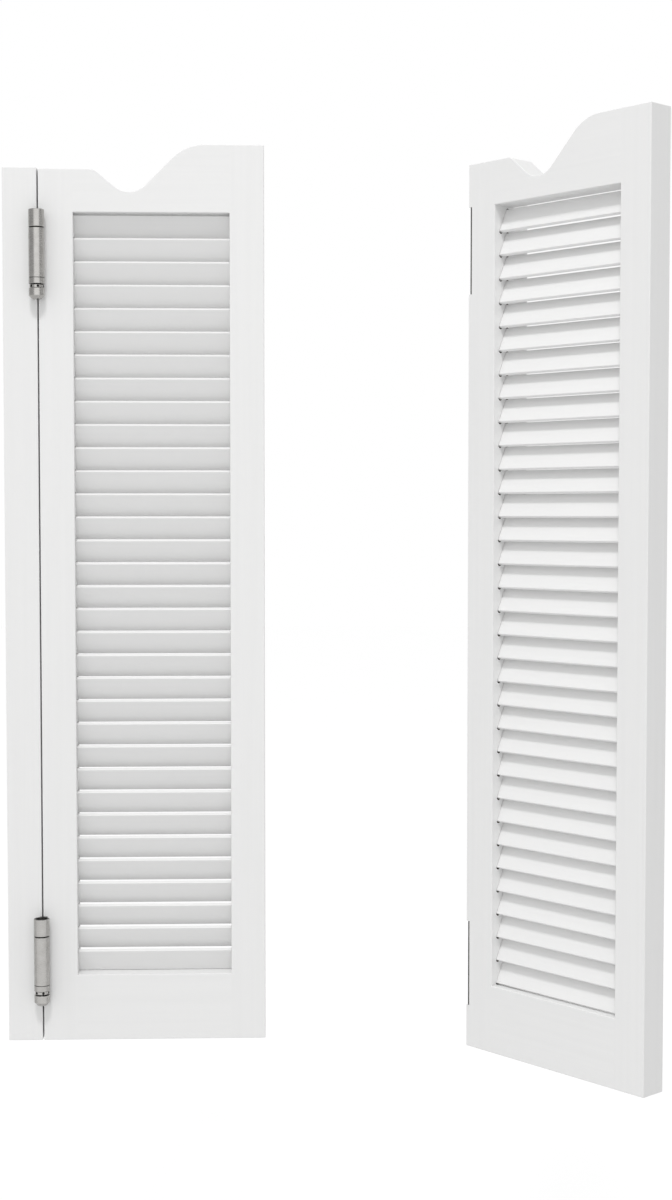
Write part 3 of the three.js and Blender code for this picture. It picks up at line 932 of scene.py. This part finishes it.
def pale_floor():
    """A white floor below the doors that keeps their soft shadow."""
    reach = FLOOR_SIZE / 2
    top = FOOT - FLOOR_DROP
    solid = block((-reach, -reach, top - FLOOR_THICKNESS), (reach, reach, top))
    floor = bpy.data.objects.new("floor", as_mesh(solid))
    bpy.context.scene.collection.objects.link(floor)
    material, tree, shader = new_material("pale_floor")
    tone = noise(tree, FLOOR_GRAIN, detail=2)
    tree.links.new(shades(tree, tone, FLOOR_DARK, FLOOR_LIGHT), shader.inputs["Base Color"])
    shader.inputs["Roughness"].default_value = FLOOR_ROUGHNESS
    glow = tree.nodes.new("ShaderNodeEmission")
    glow.inputs["Strength"].default_value = FLOOR_GLOW
    coordinates = tree.nodes.new("ShaderNodeTexCoord")
    place = tree.nodes.new("ShaderNodeSeparateXYZ")
    tree.links.new(coordinates.outputs["Object"], place.inputs["Vector"])
    in_front = calculated(tree, "LESS_THAN", place.outputs["Y"], FLOOR_GLEAM_FRONT)
    gleam = calculated(tree, "MULTIPLY", in_front, any_ray(tree, "Is Glossy Ray"))
    direct = any_ray(tree, "Is Camera Ray", "Is Transmission Ray")
    seen = calculated(tree, "MAXIMUM", gleam, direct)
    mix = tree.nodes.new("ShaderNodeMixShader")
    output = tree.nodes["Material Output"]
    tree.links.new(calculated(tree, "MULTIPLY", seen, FLOOR_GLOW_SHARE), mix.inputs["Fac"])
    tree.links.new(shader.outputs["BSDF"], mix.inputs[1])
    tree.links.new(glow.outputs["Emission"], mix.inputs[2])
    tree.links.new(mix.outputs["Shader"], output.inputs["Surface"])
    floor.data.materials.append(material)


def studio_world():
    """White behind the doors, soft light from above, and dimmer sides of the room for the steel."""
    world = bpy.data.worlds.new("studio")
    world.use_nodes = True
    bpy.context.scene.world = world
    tree = world.node_tree
    tree.nodes.clear()
    coordinates = tree.nodes.new("ShaderNodeTexCoord")

    def background(toward, glows):
        """A glow that changes in steps toward a direction."""
        node = tree.nodes.new("ShaderNodeBackground")
        along = tree.nodes.new("ShaderNodeVectorMath")
        along.operation = "DOT_PRODUCT"
        along.inputs[1].default_value = Vector(toward).normalized()
        way = tree.nodes.new("ShaderNodeMapRange")
        way.inputs["From Min"].default_value = -1
        fade = tree.nodes.new("ShaderNodeValToRGB")
        steps = fade.color_ramp.elements
        while len(steps) < len(glows):
            steps.new(0.5)
        for step, (share, strength) in zip(steps, glows):
            step.position = share
            step.color = (strength, strength, strength, 1)
        tree.links.new(coordinates.outputs["Generated"], along.inputs[0])
        tree.links.new(along.outputs["Value"], way.inputs["Value"])
        tree.links.new(way.outputs["Result"], fade.inputs["Fac"])
        tree.links.new(fade.outputs["Color"], node.inputs["Color"])
        return node.outputs["Background"]

    ambient = background(AMBIENT_TOWARD, AMBIENT_GLOWS)
    room = background(REFLECTED_TOWARD, REFLECTED_GLOWS)
    white = tree.nodes.new("ShaderNodeBackground")
    white.inputs["Color"].default_value = (1, 1, 1, 1)
    shiny = tree.nodes.new("ShaderNodeMixShader")
    tree.links.new(any_ray(tree, "Is Glossy Ray"), shiny.inputs["Fac"])
    tree.links.new(ambient, shiny.inputs[1])
    tree.links.new(room, shiny.inputs[2])
    whole = tree.nodes.new("ShaderNodeMixShader")
    tree.links.new(any_ray(tree, "Is Camera Ray", "Is Transmission Ray"), whole.inputs["Fac"])
    tree.links.new(shiny.outputs["Shader"], whole.inputs[1])
    tree.links.new(white.outputs["Background"], whole.inputs[2])
    output = tree.nodes.new("ShaderNodeOutputWorld")
    tree.links.new(whole.outputs["Shader"], output.inputs["Surface"])


def soft_box(name, place, width, height, power):
    """A wide lamp that faces the middle of the opening."""
    lamp = bpy.data.lights.new(name, "AREA")
    lamp.shape = "RECTANGLE"
    lamp.size = width
    lamp.size_y = height
    lamp.energy = power
    item = bpy.data.objects.new(name, lamp)
    item.location = place
    aim = Vector((OPENING_WIDTH / 2, 0, 0)) - Vector(place)
    item.rotation_euler = aim.to_track_quat("-Z", "Y").to_euler()
    bpy.context.scene.collection.objects.link(item)


pale_floor()
studio_world()
soft_box("key", KEY_PLACE, KEY_WIDTH, KEY_HEIGHT, KEY_POWER)

# The camera. Its focal length is given in pixels of a picture 1200 high
IMAGE_HEIGHT = 1200
FOCAL_PIXELS = 1820
SENSOR_HEIGHT = 24
CAMERA_PLACE = (0.310, -2.1495, 0.112)
CAMERA_YAW = math.radians(2.04)
CAMERA_PITCH = math.radians(2.75)

camera_data = bpy.data.cameras.new("camera")
camera_data.sensor_fit = "VERTICAL"
camera_data.sensor_height = SENSOR_HEIGHT
camera_data.lens = FOCAL_PIXELS * SENSOR_HEIGHT / IMAGE_HEIGHT
camera = bpy.data.objects.new("camera", camera_data)
camera.location = CAMERA_PLACE
camera.rotation_euler = (math.pi / 2 - CAMERA_PITCH, 0, -CAMERA_YAW)
bpy.context.scene.collection.objects.link(camera)
bpy.context.scene.camera = camera
bpy.context.scene.view_settings.view_transform = "Standard"
